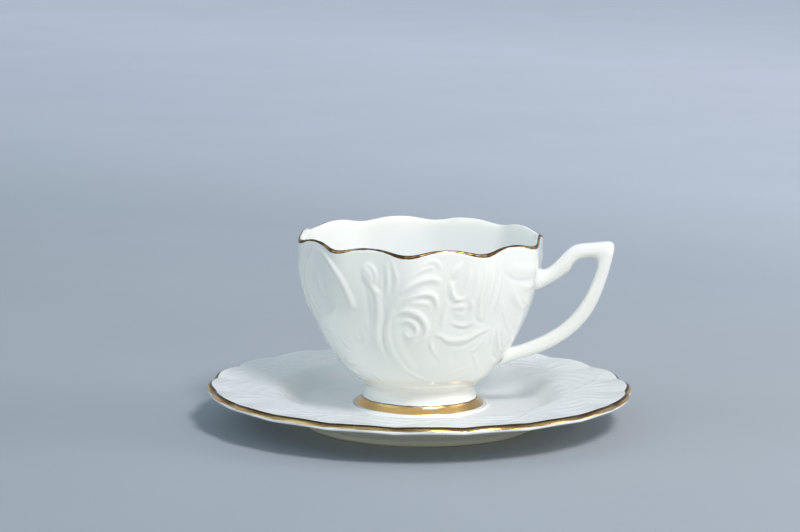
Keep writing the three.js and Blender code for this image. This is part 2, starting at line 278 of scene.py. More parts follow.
# =============================================================== the cup's relief
# Each stroke: style, [[degrees round from the side facing the viewer, height above
# the table], ...], half width in mm, height or depth in mm. The plane of the handle
# is at 83.38 degrees, and the other side of the cup mirrors these across it.
HANDLE_AT = 83.38
CUP_RELIEF = [
    # cartouche on the far side from the handle
    ("ridge", [(-63, 64.1), (-60, 64.6), (-54, 64.7), (-49, 63.8), (-45, 62), (-41.5, 59.3), (-38.8, 56), (-37, 52.8), (-35.7, 50), (-35.2, 47.9)], (0.7, 1.3, 1.5, 1.8), (0.3, 0.55, 0.6, 0.65)),
    ("ridge", [(-62, 64.4), (-67, 61), (-70.5, 56), (-71.5, 50), (-69, 45), (-65, 41.4)], (0.8, 1.0, 1.1), (0.3, 0.45, 0.4)),
    ("ridge", [(-66.5, 41.2), (-60, 41.9), (-54, 42.7), (-49.5, 43.8), (-46.3, 45.9), (-44.1, 48.6)], (1.2, 1.6, 0.8), (0.4, 0.5, 0.25)),
    ("ridge", [(-62.5, 55.2), (-58.5, 55.9), (-55, 55.7)], (0.6, 0.9, 0.5), (0.2, 0.3, 0.15)),
    ("swell", [(-58, 54), (-57.2, 51.5)], (2.4, 2.2), (0.25, 0.25)),
    ("groove", [(-53.4, 55), (-52.7, 52.4), (-54.6, 50.4)], (0.6, 0.8, 0.5), (0.12, 0.25, 0.1)),
    ("groove", [(-61, 47.4), (-57, 48.4), (-52, 48.6)], (0.6, 0.8, 0.5), (0.1, 0.2, 0.1)),
    ("ridge", [(-31.9, 38.9), (-31.5, 36.3), (-32.9, 33.8), (-35.4, 32), (-39.2, 31.2)], (0.6, 0.85, 0.5), (0.3, 0.45, 0.2)),
    ("groove", [(-34.4, 38.5), (-33.9, 36), (-34.8, 33.9), (-37.6, 32.7)], (0.5, 0.7, 0.4), (0.1, 0.28, 0.1)),
    ("ridge", [(-36.2, 38), (-36.9, 36), (-36, 34.2)], (0.6, 1.0, 0.6), (0.2, 0.35, 0.2)),
    ("ridge", [(-51, 33.8), (-47.6, 32.2), (-44.4, 31)], (0.9, 1.4, 0.7), (0.15, 0.32, 0.12)),
    ("ridge", [(-58, 24.4), (-50, 25), (-45, 25.4), (-40, 26.6)], (0.8, 1.5, 0.8), (0.12, 0.34, 0.12)),
    ("ridge", [(-64, 21.6), (-56, 20.5), (-49, 20.1)], (0.8, 1.3, 0.7), (0.1, 0.26, 0.1)),
    ("ridge", [(-71, 37), (-61, 37.1), (-52, 38.2)], (0.8, 1.3, 0.6), (0.2, 0.26, 0.08)),
    ("ridge", [(-38.5, 22.8), (-34, 20.9), (-30.5, 19.3)], (0.7, 1.2, 0.6), (0.1, 0.24, 0.1)),
    ("groove", [(-67, 24), (-61, 25.2), (-56, 26.6)], (0.7, 0.9, 0.6), (0.08, 0.2, 0.08)),
    # bud and stem
    ("ridge", [(-26.1, 60.4), (-25.4, 58.7), (-24.6, 57.3)], (2.2, 2.7, 2.3), (0.6, 0.82, 0.6)),
    ("groove", [(-26.2, 59.2), (-25.7, 58.2)], (1.3, 1.4), (0.2, 0.22)),
    ("ridge", [(-26.6, 62.3), (-24.6, 62.2), (-22.7, 60.9), (-21.7, 58.9), (-22, 56.8)], (0.6, 0.8, 0.6), (0.45, 0.75, 0.5)),
    ("ridge", [(-23.4, 55.6), (-22, 54), (-20.3, 53.2), (-18.9, 51.7)], (0.9, 1.1, 0.6), (0.5, 0.72, 0.3)),
    ("ridge", [(-24.9, 56.3), (-22.7, 54.1), (-21.1, 51), (-21.2, 47), (-22.1, 43), (-23.2, 39), (-23.5, 35.5), (-22.8, 32.5), (-21.3, 29.6), (-19.3, 27.2), (-17, 25.4)], (1.2, 1.7, 1.7, 1.3, 0.7), (0.5, 0.8, 0.85, 0.65, 0.2)),
    ("groove", [(-29.5, 57.2), (-27.9, 55.4), (-26.8, 51), (-26.6, 46), (-26.9, 42), (-26.9, 38), (-26.4, 34), (-24.8, 30.6)], (0.8, 1.3, 1.3, 0.8), (0.14, 0.3, 0.3, 0.12)),
    ("groove", [(-18.4, 48), (-18.3, 43.5), (-19.6, 40), (-20.1, 36.5), (-19.2, 33), (-17.6, 29.8), (-15.7, 27.4)], (0.6, 1.1, 1.1, 0.7), (0.1, 0.34, 0.36, 0.16)),
    # pair of upright blades
    ("ridge", [(-15.9, 63.2), (-15.75, 58), (-16.1, 53)], (0.6, 0.85, 0.5), (0.3, 0.5, 0.3)),
    ("ridge", [(-13.6, 65.2), (-12.4, 62.6), (-11.3, 60), (-11.6, 57), (-12.6, 54.2)], (0.6, 0.85, 0.5), (0.25, 0.5, 0.25)),
    ("groove", [(-18, 62.2), (-17.8, 57.5), (-18.3, 53.2)], (0.5, 0.9, 0.6), (0.1, 0.28, 0.15)),
    ("groove", [(-13.9, 61.8), (-13.6, 57.5), (-14.3, 53.6)], (0.5, 0.7, 0.5), (0.12, 0.32, 0.15)),
    # great leaf
    ("ridge", [(-9.4, 52), (-11, 50.2), (-13.2, 48.2), (-14.8, 46), (-16.3, 43), (-17.3, 40), (-17.5, 37), (-17, 34), (-15.8, 31.4), (-13.8, 28.8), (-11.3, 26.4), (-8.4, 24.5), (-5, 23), (-1.5, 21.8), (3, 21)], (0.6, 1.0, 1.9, 2.2, 1.8, 1.3, 0.8), (0.35, 0.6, 0.8, 0.82, 0.68, 0.48, 0.2)),
    ("swell", [(-13, 44), (-14, 40), (-13.5, 35), (-11, 30), (-6, 26)], (2.6, 4.0, 3.0), (0.3, 0.5, 0.3)),
    ("groove", [(-12.4, 48), (-11, 47.2)], (0.6, 0.7), (0.2, 0.25)),
    # scroll
    ("ridge", [(-14.6, 43.8), (-12.5, 45.7), (-9.8, 47.1), (-7, 47.6), (-4, 47.2), (-1.2, 46.2), (1, 44.6), (2.4, 42.6), (2.8, 40.6), (2.2, 38.7), (0.7, 37.1), (-2.4, 35.2)], (0.6, 1.1, 1.3, 1.35, 1.1, 0.6), (0.4, 0.72, 0.85, 0.85, 0.7, 0.25)),
    ("ridge", [(-10.8, 42.7), (-8, 43.7), (-5.6, 43.7), (-3.4, 42.9), (-2, 41.5), (-1.9, 39.9), (-3, 38.4), (-5, 37.7), (-7, 38.1), (-8.2, 39)], (0.6, 0.9, 0.95, 1.2, 0.7), (0.35, 0.6, 0.75, 0.72, 0.55)),
    ("groove", [(-10.6, 44.7), (-8, 45.5), (-5.4, 45.3), (-2.7, 44.4), (-0.7, 42.9), (0.2, 41), (-0.5, 38.9), (-2.6, 37)], (0.5, 0.75, 0.75, 0.5), (0.15, 0.34, 0.34, 0.12)),
    ("groove", [(-5.6, 41.4), (-4.3, 40.4)], (1.3, 1.2), (0.34, 0.34)),
    ("groove", [(-9.2, 38), (-8.9, 36.4)], (0.8, 0.8), (0.2, 0.2)),
    # hooked plumes over the scroll
    ("ridge", [(-6.6, 51.7), (-4, 52.7), (-1, 53.3), (2, 53.6), (4.6, 53.4), (6.4, 52.3), (7.3, 50.6), (7.6, 48.4)], (0.4, 0.8, 1.1, 1.15, 0.7), (0.25, 0.5, 0.75, 0.8, 0.3)),
    ("ridge", [(-4.4, 49.7), (-1.5, 50.2), (1, 50.2), (3, 49.8), (4.4, 48.8)], (0.5, 0.85, 0.5), (0.3, 0.55, 0.25)),
    ("groove", [(-3.4, 51.4), (1, 51.8), (4, 51.2), (5.5, 49.9), (5.7, 48.2)], (0.4, 0.75, 0.5), (0.15, 0.38, 0.18)),
    ("groove", [(-6.4, 52.6), (-3.6, 53.8), (-1, 54.6)], (0.4, 0.7, 0.4), (0.1, 0.26, 0.1)),
    ("ridge", [(-9, 53.8), (-6.5, 55.7), (-4, 57.1), (-1, 58.1), (2, 58.6), (5, 58.6), (8, 57.9)], (0.6, 1.3, 1.5, 1.0), (0.25, 0.58, 0.72, 0.4)),
    ("groove", [(-4, 55.1), (0, 56.3), (4, 56.5), (8.4, 55.7)], (0.5, 0.95, 0.6), (0.12, 0.32, 0.14)),
    ("ridge", [(-3.6, 60.8), (0, 62.1), (3, 62.5), (5.4, 62.1)], (0.5, 0.8, 0.5), (0.2, 0.48, 0.25)),
    ("groove", [(-2.4, 60), (1.5, 60.9), (5.2, 61.1)], (0.4, 0.65, 0.4), (0.1, 0.28, 0.12)),
    ("ridge", [(-1.6, 63.2), (1.5, 64.2), (4.5, 64.7), (7.2, 63.9), (9, 61.9)], (0.5, 0.85, 0.6), (0.2, 0.42, 0.2)),
    ("groove", [(4.8, 63.4), (6.6, 62.3), (7, 60.6)], (0.4, 0.6, 0.4), (0.12, 0.26, 0.12)),
    # leaflets and hooks towards the handle
    ("ridge", [(14.6, 59.9), (16.2, 61.5), (17.6, 62.8), (19, 63.7)], (0.9, 1.1, 0.5), (0.4, 0.58, 0.2)),
    ("groove", [(12.4, 57.6), (15.2, 57.6), (17.8, 59.2)], (0.6, 0.9, 0.5), (0.14, 0.32, 0.14)),
    ("ridge", [(13.6, 57), (14.3, 55.2), (14.9, 53.2), (16.1, 51.9), (18, 51.4), (20.3, 51.7), (22.6, 52.7)], (0.6, 0.95, 0.9, 0.5), (0.45, 0.75, 0.7, 0.2)),
    ("groove", [(12.1, 55.6), (12.6, 52.2), (14.2, 50.4), (16.8, 49.8), (19.4, 50.3)], (0.5, 0.9, 0.6), (0.14, 0.38, 0.14)),
    ("ridge", [(17, 48.4), (19, 48.7), (21, 48.3)], (1.2, 1.5, 1.1), (0.4, 0.55, 0.4)),
    ("ridge", [(23.6, 51), (24.7, 49.4), (24.6, 47.2)], (0.6, 0.9, 0.6), (0.25, 0.45, 0.25)),
    ("ridge", [(16.4, 46.6), (19, 45.9), (21.6, 45.9)], (0.5, 0.8, 0.5), (0.2, 0.35, 0.2)),
    ("groove", [(22.5, 48), (22.7, 47.3)], (0.9, 0.9), (0.3, 0.3)),
    ("ridge", [(10.7, 42.4), (11.1, 45), (12, 47.6), (13.4, 49.4)], (0.9, 1.1, 0.5), (0.35, 0.55, 0.22)),
    ("ridge", [(14.8, 43.4), (17, 42.6), (19.2, 42), (21.5, 41.8), (24, 42), (26.6, 42.8)], (0.5, 0.85, 0.5), (0.25, 0.62, 0.25)),
    ("groove", [(16, 44.5), (20, 43.5), (24, 43.6)], (0.5, 0.75, 0.5), (0.12, 0.28, 0.12)),
    ("groove", [(16.6, 41.2), (20, 40.4), (24, 40.2), (27.4, 40.9)], (0.5, 0.75, 0.5), (0.12, 0.34, 0.14)),
    ("ridge", [(8.6, 38.4), (11.5, 38), (13.7, 36.8), (16, 36.4), (20, 36.3), (24, 36.5), (27, 37.1), (30, 38.3), (34, 39.1), (38.4, 39.7)], (0.9, 1.5, 1.6, 1.4, 0.8), (0.42, 0.68, 0.75, 0.55, 0.22)),
    ("groove", [(13.6, 34.8), (20, 34.2), (26, 34.4), (30, 35.7), (34, 37.3), (38, 38)], (0.5, 1.0, 1.0, 0.6), (0.12, 0.34, 0.32, 0.12)),
    ("ridge", [(5.3, 36.4), (5.9, 34.4), (7, 32.6), (9.3, 31)], (0.6, 1.0, 0.6), (0.3, 0.55, 0.25)),
    ("groove", [(4, 36.2), (4, 34), (4.9, 31.8)], (0.4, 0.65, 0.4), (0.14, 0.3, 0.12)),
    ("ridge", [(28.2, 31.4), (31.5, 31.8), (34, 33), (36.3, 34.9)], (0.6, 1.0, 0.6), (0.22, 0.42, 0.22)),
    ("ridge", [(33.3, 29.8), (36.5, 27.9), (39.5, 25.8), (43, 23.7)], (0.6, 1.0, 0.6), (0.24, 0.45, 0.2)),
    ("groove", [(30.6, 30.7), (33.6, 28.8), (36, 26.6)], (0.4, 0.75, 0.4), (0.1, 0.26, 0.1)),
    ("ridge", [(20, 23.2), (26, 23.8), (31, 25), (35, 26.4)], (0.6, 1.1, 0.6), (0.12, 0.34, 0.15)),
    ("ridge", [(9, 20.8), (12.5, 19.9), (16, 20)], (0.6, 1.0, 0.6), (0.1, 0.28, 0.1)),
    ("groove", [(8.6, 29.4), (10.2, 28.2)], (0.9, 0.9), (0.2, 0.2)),
    ("groove", [(19.4, 29.3), (21.4, 28.9)], (0.7, 0.7), (0.2, 0.2)),
    # fan of upright plumes
    ("ridge", [(22.4, 64), (21.9, 60), (20.9, 56.6)], (0.5, 0.9, 0.5), (0.15, 0.34, 0.15)),
    ("ridge", [(26, 62.5), (25.9, 58), (25.2, 54)], (0.5, 0.8, 0.5), (0.15, 0.36, 0.2)),
    ("ridge", [(29.9, 64), (30.2, 59), (29.5, 55), (28.6, 51.5), (29, 47.6), (30.8, 44)], (0.5, 1.0, 1.0, 0.6), (0.22, 0.55, 0.5, 0.22)),
    ("ridge", [(34.4, 64.5), (34.7, 59), (33.9, 54), (33.1, 49), (33.6, 44)], (0.6, 1.2, 1.1, 0.6), (0.2, 0.52, 0.5, 0.24)),
    ("ridge", [(39.2, 63), (39.5, 57.5), (38.9, 52), (37.7, 47), (36.6, 43.2)], (0.6, 1.3, 1.1, 0.6), (0.18, 0.5, 0.46, 0.22)),
    ("groove", [(31.9, 60.6), (32.2, 57), (31.2, 53), (30.4, 49.6), (31.4, 46)], (0.5, 0.8, 0.8, 0.4), (0.1, 0.3, 0.28, 0.1)),
    ("groove", [(36.6, 62), (36.9, 57), (36.2, 51.6), (35.2, 47)], (0.5, 0.9, 0.8, 0.4), (0.1, 0.28, 0.26, 0.1)),
    ("groove", [(26.4, 46), (28.2, 43.8), (31, 42.4), (35, 41.8)], (0.5, 1.0, 0.6), (0.14, 0.42, 0.16)),
    # apron under the upper joint of the handle, and the plumes that sweep from it
    ("swell", [(49, 60), (58, 59.2), (68, 59.4), (78, 60)], (2.6, 3.6, 3.0), (0.18, 0.3, 0.2)),
    ("groove", [(41.6, 61.6), (42.9, 59), (45.4, 57.6), (49, 56.3), (54, 55.5), (60, 55.3), (67, 55.8)], (0.6, 1.0, 0.9, 0.5), (0.14, 0.4, 0.34, 0.1)),
    ("ridge", [(56, 53.6), (61, 52.6), (67, 52.8)], (0.9, 1.5, 0.9), (0.15, 0.36, 0.15)),
    ("groove", [(46.6, 52), (48.5, 49.7), (50.6, 47.6), (54, 45.2)], (0.5, 0.9, 0.6), (0.12, 0.34, 0.12)),
    ("ridge", [(50, 53), (52.8, 49.8), (57, 46.8), (63, 44.5)], (0.8, 1.5, 0.8), (0.2, 0.5, 0.2)),
    ("groove", [(40.6, 48), (42.1, 45.2), (43.4, 42.4), (45, 39.8)], (0.5, 0.9, 0.6), (0.14, 0.34, 0.14)),
    ("ridge", [(43.6, 49), (45.8, 45.8), (49, 42.8), (53, 40), (59, 37.2)], (0.8, 1.5, 1.3, 0.7), (0.2, 0.55, 0.5, 0.2)),
    ("groove", [(47.3, 45.4), (50, 42.4), (54, 39.8), (60, 37.4), (67, 35.4)], (0.5, 0.9, 0.8, 0.5), (0.12, 0.34, 0.3, 0.1)),
    ("ridge", [(45.2, 39.9), (47.2, 37), (50, 34), (53.5, 31.4), (58, 29.6)], (0.6, 1.0, 1.0, 0.6), (0.3, 0.62, 0.6, 0.2)),
    ("groove", [(47.2, 39.4), (49.6, 36.3), (52.6, 33.3), (56.2, 31.1), (61, 29.8)], (0.5, 0.85, 0.8, 0.5), (0.12, 0.38, 0.36, 0.1)),
    ("groove", [(43.8, 38), (45.5, 34.6), (47.4, 31.6), (50.6, 29), (55, 27.2), (63, 25.6)], (0.5, 0.85, 0.85, 0.5), (0.12, 0.32, 0.32, 0.1)),
    ("ridge", [(41.2, 39), (42.9, 36), (44, 33.4)], (0.5, 0.95, 0.5), (0.18, 0.4, 0.18)),
    ("ridge", [(58, 48.8), (64, 46.4), (71, 45.2)], (0.8, 1.5, 0.8), (0.14, 0.36, 0.12)),
    ("ridge", [(59, 41.6), (65, 39.6), (71, 38.4)], (0.8, 1.6, 0.8), (0.14, 0.38, 0.12)),
    ("ridge", [(51, 27.4), (58, 25.3), (66, 24)], (0.7, 1.3, 0.7), (0.12, 0.38, 0.14)),
    ("ridge", [(62, 34.2), (68, 32.6), (74, 31.6)], (0.7, 1.4, 0.7), (0.12, 0.34, 0.1)),
    # opposite the handle, where the two halves meet
    ("ridge", [(-96.62, 62.6), (-96.62, 56), (-96.62, 49)], (0.8, 1.9, 0.9), (0.2, 0.62, 0.3)),
    ("ridge", [(-91.2, 62), (-89.2, 57), (-90.8, 51), (-94.4, 46.6)], (0.7, 1.6, 1.2, 0.6), (0.2, 0.58, 0.5, 0.2)),
    ("ridge", [(-85, 62.6), (-82.2, 57.4), (-83.8, 51), (-88.4, 45.4), (-94, 42.6)], (0.7, 1.5, 1.4, 1.0, 0.6), (0.2, 0.54, 0.55, 0.45, 0.2)),
    ("ridge", [(-77.6, 60), (-76.8, 53), (-79, 46), (-84, 40.6), (-91, 37.8), (-96.62, 37.2)], (0.7, 1.3, 1.4, 1.2, 1.0), (0.2, 0.5, 0.58, 0.55, 0.5)),
    ("groove", [(-93.6, 60), (-92.6, 55), (-94.2, 49.6)], (0.5, 0.8, 0.5), (0.1, 0.3, 0.1)),
    ("groove", [(-87.4, 59.6), (-85.8, 55), (-87.6, 49.2), (-91.6, 45)], (0.5, 0.9, 0.8, 0.5), (0.1, 0.3, 0.3, 0.1)),
    ("ridge", [(-84, 33.6), (-88.4, 34.9), (-92.4, 33.2), (-93.4, 30), (-90.6, 28), (-87.6, 29.4), (-88.2, 31.4)], (0.6, 1.1, 1.1, 0.9, 0.9), (0.25, 0.6, 0.65, 0.55, 0.5)),
    ("ridge", [(-96.62, 33), (-96.62, 28), (-96.62, 23)], (0.7, 1.4, 0.7), (0.2, 0.5, 0.2)),
    ("ridge", [(-91.4, 25.6), (-86, 24), (-79, 24.8), (-73, 27.6)], (0.6, 1.2, 1.1, 0.6), (0.15, 0.42, 0.4, 0.15)),
]

# =============================================================== the saucer's relief
# Leaf sprays on the flange, [degrees, radius in mm] within a 36 degree repeat.
SPRAY = [
    ("ridge", [(-16.5, 54.5), (-11, 57.4), (-5, 61.6), (2, 66.2), (9, 70.4)], (0.8, 1.3, 1.2, 0.7), (0.3, 0.5, 0.48, 0.2)),
    ("ridge", [(-13.5, 57), (-11.8, 61), (-11.4, 65.4), (-12.6, 69.8)], (0.6, 1.1, 1.0, 0.5), (0.2, 0.42, 0.4, 0.15)),
    ("ridge", [(-9.2, 59.2), (-6.6, 63.6), (-5.6, 67.4), (-6.2, 71.2)], (0.6, 1.1, 1.0, 0.5), (0.2, 0.42, 0.4, 0.15)),
    ("ridge", [(-4, 62.8), (-0.6, 66.2), (0.8, 69), (1, 71.8)], (0.6, 1.0, 0.9, 0.5), (0.2, 0.4, 0.36, 0.15)),
    ("ridge", [(-8, 58.6), (-3, 57.8), (1.8, 55.8), (5.4, 53.4)], (0.6, 1.1, 1.0, 0.6), (0.22, 0.44, 0.42, 0.2)),
    ("ridge", [(-3, 61.6), (2.4, 61), (7.6, 58.8), (11.6, 55.6)], (0.6, 1.1, 1.1, 0.6), (0.22, 0.45, 0.42, 0.2)),
    ("ridge", [(2.8, 65.6), (8, 64.8), (13, 62.2), (16.8, 58.8)], (0.6, 1.1, 1.0, 0.6), (0.22, 0.44, 0.4, 0.2)),
    ("ridge", [(9.4, 69.8), (13.4, 68.6), (17.4, 65.8)], (0.6, 1.0, 0.6), (0.2, 0.4, 0.2)),
    ("ridge", [(14.2, 71.6), (16.4, 70.4), (19.2, 69)], (0.4, 0.8, 0.4), (0.15, 0.3, 0.15)),
    ("groove", [(-15.4, 55.8), (-10.4, 58.8), (-4.6, 62.9), (2.2, 67.4), (8.6, 71)], (0.4, 0.6, 0.6, 0.4), (0.1, 0.26, 0.24, 0.08)),
    ("groove", [(-10.6, 61.6), (-8.8, 65), (-9, 69)], (0.4, 0.7, 0.4), (0.08, 0.24, 0.08)),
    ("groove", [(-4.8, 64.8), (-2.8, 67.6), (-2.7, 70.6)], (0.4, 0.7, 0.4), (0.08, 0.22, 0.08)),
    ("groove", [(-1.6, 59.9), (3.4, 58.8), (7.4, 56)], (0.4, 0.7, 0.4), (0.08, 0.26, 0.08)),
    ("groove", [(3.6, 63.2), (8.8, 62), (13.2, 59)], (0.4, 0.7, 0.4), (0.08, 0.24, 0.08)),
    ("ridge", [(-18.6, 52.9), (-15, 51.9), (-11.6, 53.1)], (0.7, 1.2, 0.7), (0.2, 0.36, 0.2)),
    ("ridge", [(-11.4, 53.2), (-7.6, 52), (-3.6, 53)], (0.7, 1.2, 0.7), (0.2, 0.36, 0.2)),
    ("ridge", [(-3.2, 53), (1, 51.9), (5, 52.7)], (0.7, 1.2, 0.7), (0.2, 0.34, 0.2)),
    ("ridge", [(5.2, 52.8), (9.4, 52), (13, 53.4)], (0.7, 1.2, 0.7), (0.2, 0.36, 0.2)),
]

# =============================================================== profiles, in mm
BOWL_OUT = [(19.1, 14.3), (20.6, 15.45), (21.76, 16.4), (24.2, 18.3), (26.6, 20.5), (28.6, 22.9), (31.0, 26.3), (33.2, 30.0), (35.2, 33.7), (37.1, 37.6), (38.8, 41.6), (40.3, 45.8), (41.5, 50.0), (42.35, 54.4), (42.85, 59.0), (43.0, 63.0), (43.0, 66.4)]
LIP_R, LIP_Z, LIP_T = 43.0, 67.7, 1.7
BOWL_IN = [(41.3, 66.9), (41.15, 64.5), (41.0, 61.5), (40.4, 56.0), (39.2, 50.0), (37.4, 44.0), (34.9, 37.6), (31.6, 31.0), (27.4, 25.0), (22.4, 20.8), (16.0, 18.3), (9.0, 17.35), (2.0, 17.2)]


def cup_shape(r, phi, z):
    w = cup_wave(phi)
    return (
        r - smooth(20, 64, z) * LIP_WAVE_R * w,
        z + smooth(50, 66.5, z) * LIP_WAVE_Z * w,
    )


def bowl_radius(phi, z):
    """Outside of the bowl without its relief."""
    p = np.asarray(BOWL_OUT)
    r = np.interp(z, p[:, 1], p[:, 0])
    return r - smooth(20, 64, z) * LIP_WAVE_R * cup_wave(phi)


def relief_grid(rows_r, rows_z, cols, strokes, fade):
    """Height of the cup's relief over rows x cols."""
    along = np.concatenate([[0], np.cumsum(np.hypot(np.diff(rows_r), np.diff(rows_z)))])
    phi = np.arange(cols) / cols * 2 * math.pi
    ridge = np.zeros((len(rows_r), cols))
    cut = np.zeros((len(rows_r), cols))
    for style, pts, w, a in strokes:
        at, up = np.mean(np.array(pts, float), axis=0)
        k = 0.62 if (3 < at < 42 and up < 35) else 0.9  # worn softer low down on the side
        a = [k * x for x in three(a)]
        p = spline([(math.radians(t - HANDLE_AT) * 38, np.interp(z, rows_z, along)) for t, z in pts], step=0.35)
        p[:, 0] /= 38
        for side in (1, -1):
            q = p * np.array([side, 1])
            stamp(cut if style == "groove" else ridge, rows_r, along, phi, q, three(w), three(a), style)
    return (ridge + cut) * fade[:, None], along


# =============================================================== materials
def new_material(name):
    m = bpy.data.materials.new(name)
    m.use_nodes = True
    nt = m.node_tree
    nt.nodes.clear()
    out = nt.nodes.new("ShaderNodeOutputMaterial")
    bsdf = nt.nodes.new("ShaderNodeBsdfPrincipled")
    nt.links.new(bsdf.outputs[0], out.inputs[0])
    return m, nt, bsdf


def ramp(nt, source, stops):
    n = nt.nodes.new("ShaderNodeValToRGB")
    e = n.color_ramp.elements
    while len(e) < len(stops):
        e.new(0.5)
    for el, (pos, col) in zip(e, stops):
        el.position = pos
        el.color = (*col, 1) if len(col) == 3 else col
    nt.links.new(source, n.inputs[0])
    return n.outputs[0]


def math_node(nt, op, a, b=None, clamp=False):
    n = nt.nodes.new("ShaderNodeMath")
    n.operation = op
    n.use_clamp = clamp
    for i, x in enumerate((a, b)):
        if x is None:
            continue
        if isinstance(x, (int, float)):
            n.inputs[i].default_value = x
        else:
            nt.links.new(x, n.inputs[i])
    return n.outputs[0]


def mix_colour(nt, fac, a, b, blend="MIX"):
    n = nt.nodes.new("ShaderNodeMix")
    n.data_type = "RGBA"
    n.blend_type = blend
    for sock, x in ((n.inputs[0], fac), (n.inputs[6], a), (n.inputs[7], b)):
        if isinstance(x, (int, float)):
            sock.default_value = x
        elif isinstance(x, tuple):
            sock.default_value = (*x, 1) if len(x) == 3 else x
        else:
            nt.links.new(x, sock)
    return n.outputs[2]


def noise(nt, vec, scale, detail=2.0, rough=0.5, distortion=0.0):
    n = nt.nodes.new("ShaderNodeTexNoise")
    n.inputs["Scale"].default_value = scale
    n.inputs["Detail"].default_value = detail
    n.inputs["Roughness"].default_value = rough
    n.inputs["Distortion"].default_value = distortion
    nt.links.new(vec, n.inputs["Vector"])
    return n.outputs["Fac"]


def attribute(nt, name):
    n = nt.nodes.new("ShaderNodeAttribute")
    n.attribute_name = name
    return n.outputs["Fac"]


def object_coords(nt):
    return nt.nodes.new("ShaderNodeTexCoord").outputs["Object"]


def porcelain(name, body=(0.835, 0.845, 0.815), pool=(0.74, 0.80, 0.78), bare=False):
    """Glazed bone china: the glaze pools faintly green-grey in the hollows of the relief and thins to warm white on its crests."""
    m, nt, b = new_material(name)
    p = object_coords(nt)
    relief = attribute(nt, "relief")
    broad = noise(nt, p, 38, 3, 0.55)
    fine = noise(nt, p, 420, 2, 0.5)
    tint = ramp(nt, broad, [(0.3, tuple(c * k for c, k in zip(body, (0.985, 0.99, 0.995)))), (0.7, tuple(c * k for c, k in zip(body, (1.012, 1.006, 0.995))))])
    hollow = math_node(nt, "MULTIPLY", math_node(nt, "SUBTRACT", 0.06, relief), 2.2, clamp=True)
    hollow = math_node(nt, "MULTIPLY", hollow, attribute(nt, "moulded"), clamp=True)
    colour = mix_colour(nt, math_node(nt, "MULTIPLY", hollow, 0.55), tint, pool)
    crest = math_node(nt, "MULTIPLY", math_node(nt, "SUBTRACT", relief, 0.35), 1.1, clamp=True)
    colour = mix_colour(nt, math_node(nt, "MULTIPLY", crest, 0.5), colour, tuple(min(1, c * 1.05) for c in body))
    # the odd pinhole and ash speck that any glaze firing leaves
    v = nt.nodes.new("ShaderNodeTexVoronoi")
    v.inputs["Scale"].default_value = 70
    nt.links.new(p, v.inputs["Vector"])
    speck = ramp(nt, v.outputs["Distance"], [(0.012, (1, 1, 1)), (0.022, (0, 0, 0))])
    rare = ramp(nt, noise(nt, p, 55, 1, 0.5), [(0.62, (0, 0, 0)), (0.66, (1, 1, 1))])
    colour = mix_colour(nt, math_node(nt, "MULTIPLY", math_node(nt, "MULTIPLY", speck, rare), 0.35), colour, (0.45, 0.42, 0.36))
    rough = math_node(nt, "ADD", 0.10, math_node(nt, "MULTIPLY", noise(nt, p, 60, 4, 0.6), 0.10))
    if bare:
        # the wiped, unglazed edge that the ring stands on
        raw = attribute(nt, "bare")
        colour = mix_colour(nt, raw, colour, mix_colour(nt, noise(nt, p, 260, 3, 0.6), (0.66, 0.63, 0.57), (0.76, 0.74, 0.69)))
        rough = math_node(nt, "ADD", rough, math_node(nt, "MULTIPLY", raw, 0.5), clamp=True)
    nt.links.new(colour, b.inputs["Base Color"])
    nt.links.new(rough, b.inputs["Roughness"])
    bump = nt.nodes.new("ShaderNodeBump")
    bump.inputs["Strength"].default_value = 0.16
    bump.inputs["Distance"].default_value = 0.0002
    wave = math_node(nt, "ADD", math_node(nt, "MULTIPLY", noise(nt, p, 130, 2, 0.5), 0.8), math_node(nt, "MULTIPLY", fine, 0.18))
    nt.links.new(wave, bump.inputs["Height"])
    nt.links.new(bump.outputs[0], b.inputs["Normal"])
    b.inputs["IOR"].default_value = 1.52
    b.inputs["Subsurface Weight"].default_value = 0.12
    b.inputs["Subsurface Radius"].default_value = (1.0, 0.9, 0.75)
    b.inputs["Subsurface Scale"].default_value = 0.0018
    b.inputs["Sheen Weight"].default_value = 0.10
    b.inputs["Sheen Roughness"].default_value = 0.35
    b.inputs["Coat Weight"].default_value = 0.42
    b.inputs["Coat Roughness"].default_value = 0.035
    b.inputs["Coat IOR"].default_value = 1.5
    return m


